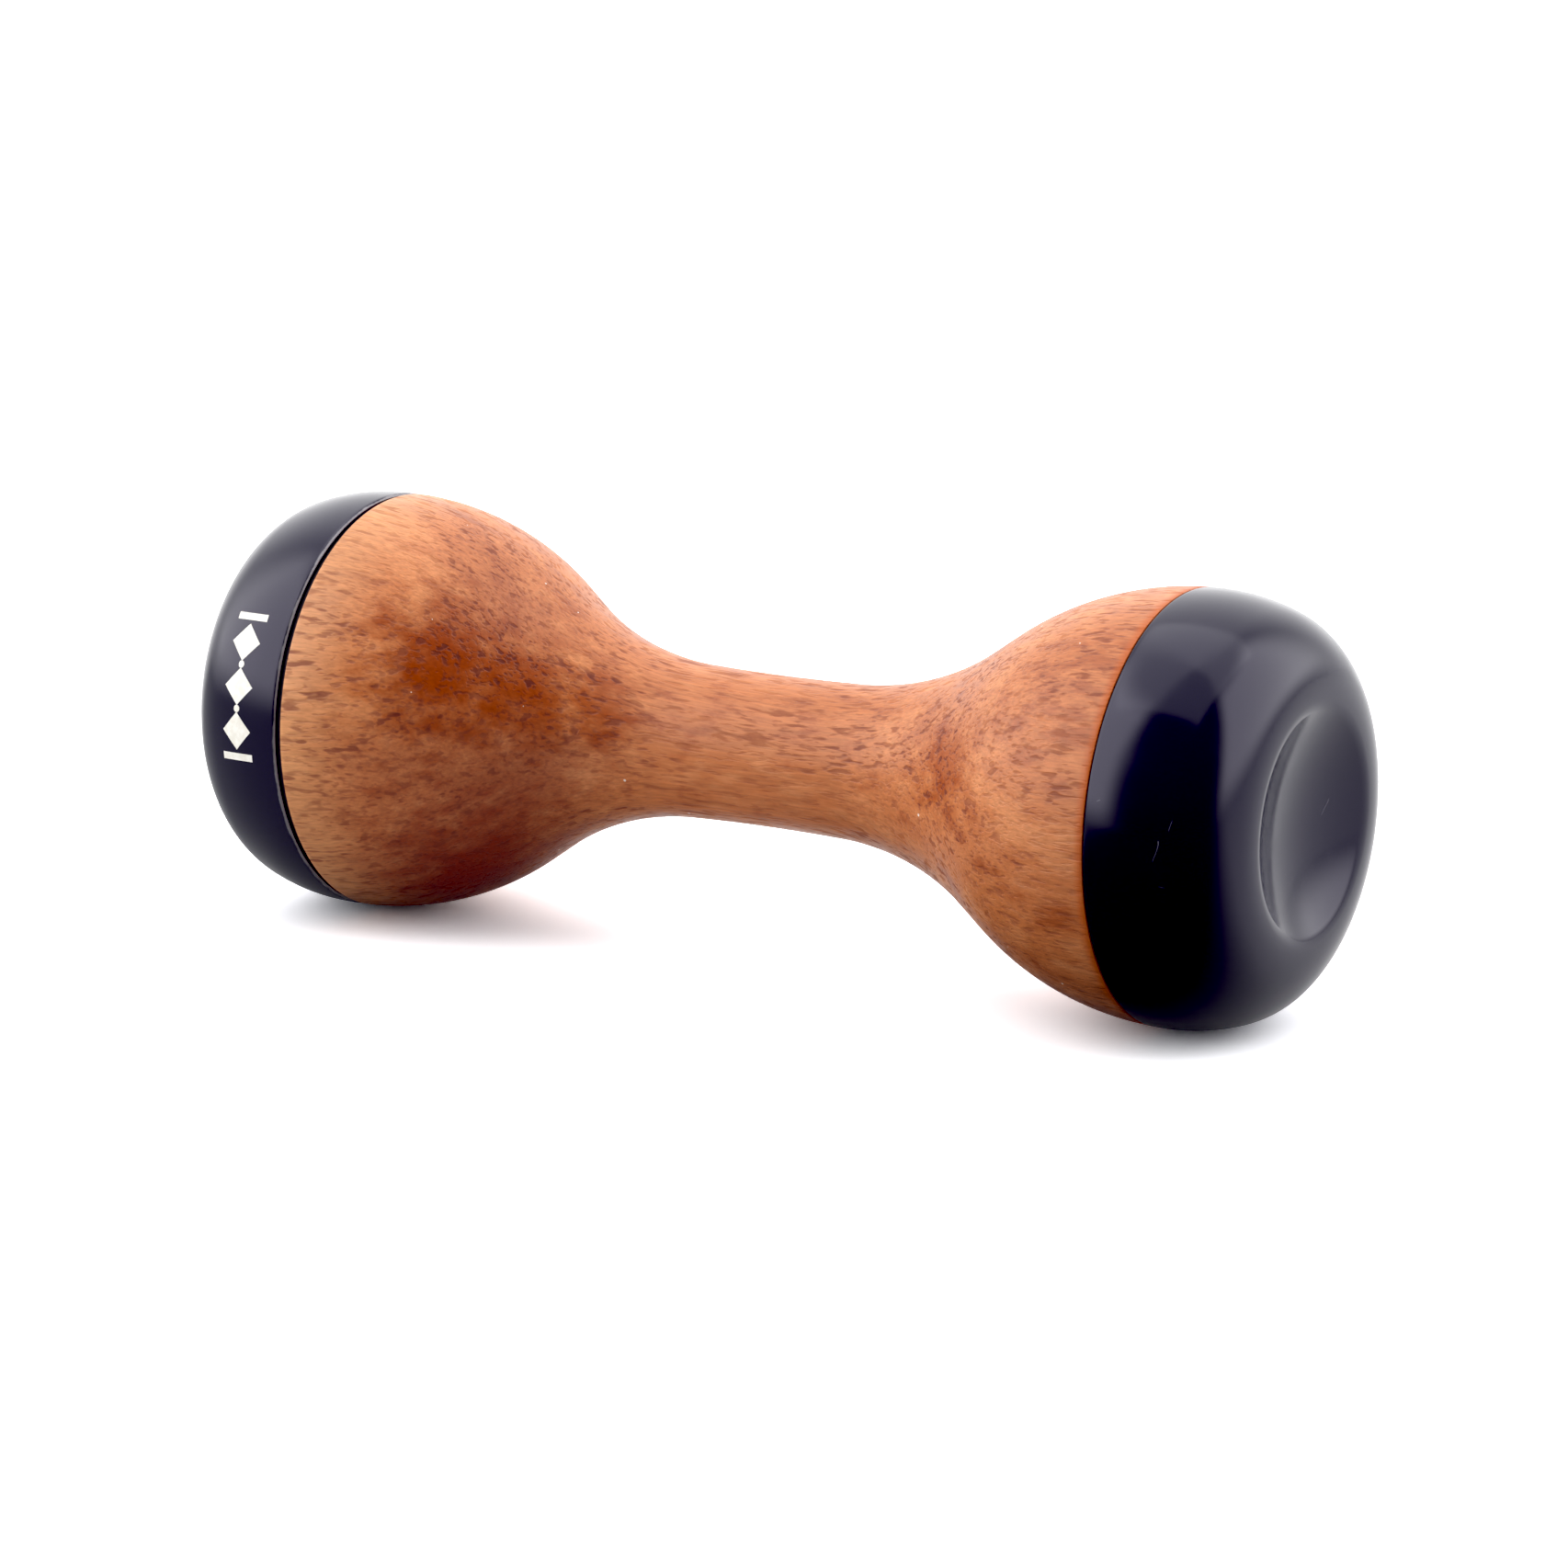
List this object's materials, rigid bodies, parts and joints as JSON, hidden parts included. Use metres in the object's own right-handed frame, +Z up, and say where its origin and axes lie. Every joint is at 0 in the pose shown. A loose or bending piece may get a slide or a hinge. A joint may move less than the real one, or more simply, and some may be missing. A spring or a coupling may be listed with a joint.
{
  "type": "wooden mallet",
  "caption": "Hand-sized double-ended turned mallet: a waisted wooden body between round black metal caps with dished ends, the rear cap screwing off.",
  "frame": {"origin": "on the surface that the object lies on, under the middle of the overall length", "axes": "+X along the turning axis towards the front cap, +Z up"},
  "size_m": [0.1006, 0.036, 0.036],
  "materials": {
    "wood": "oiled open-pored reddish-brown hardwood, satin",
    "cap": "black anodised, glossy satin",
    "brass": "turned",
    "steel": "bright zinc, rolled thread",
    "washer": "matt black"
  },
  "bodies": {
    "body": {"wood_body": "wood", "front_cap": "cap", "front_stud": "steel", "front_insert": "brass", "rear_insert": "brass"},
    "washer": {"rear_washer": "washer"},
    "rear_cap": {"rear_cap": "cap", "rear_stud": "steel"}
  },
  "joints": [
    {"name": "cap_travel", "type": "slide", "parent": "body", "child": "washer", "axis": [-1, 0, 0], "range_m": [0, 0.01]},
    {"name": "cap_turn", "type": "hinge", "parent": "washer", "child": "rear_cap", "pos_m": [0, 0, 0.018], "axis": [-1, 0, 0], "range_deg": [0, 2880]}
  ],
  "couplings": [
    {"joint": "cap_travel", "follows": "cap_turn", "m_per_rad": 0.00019894}
  ]
}
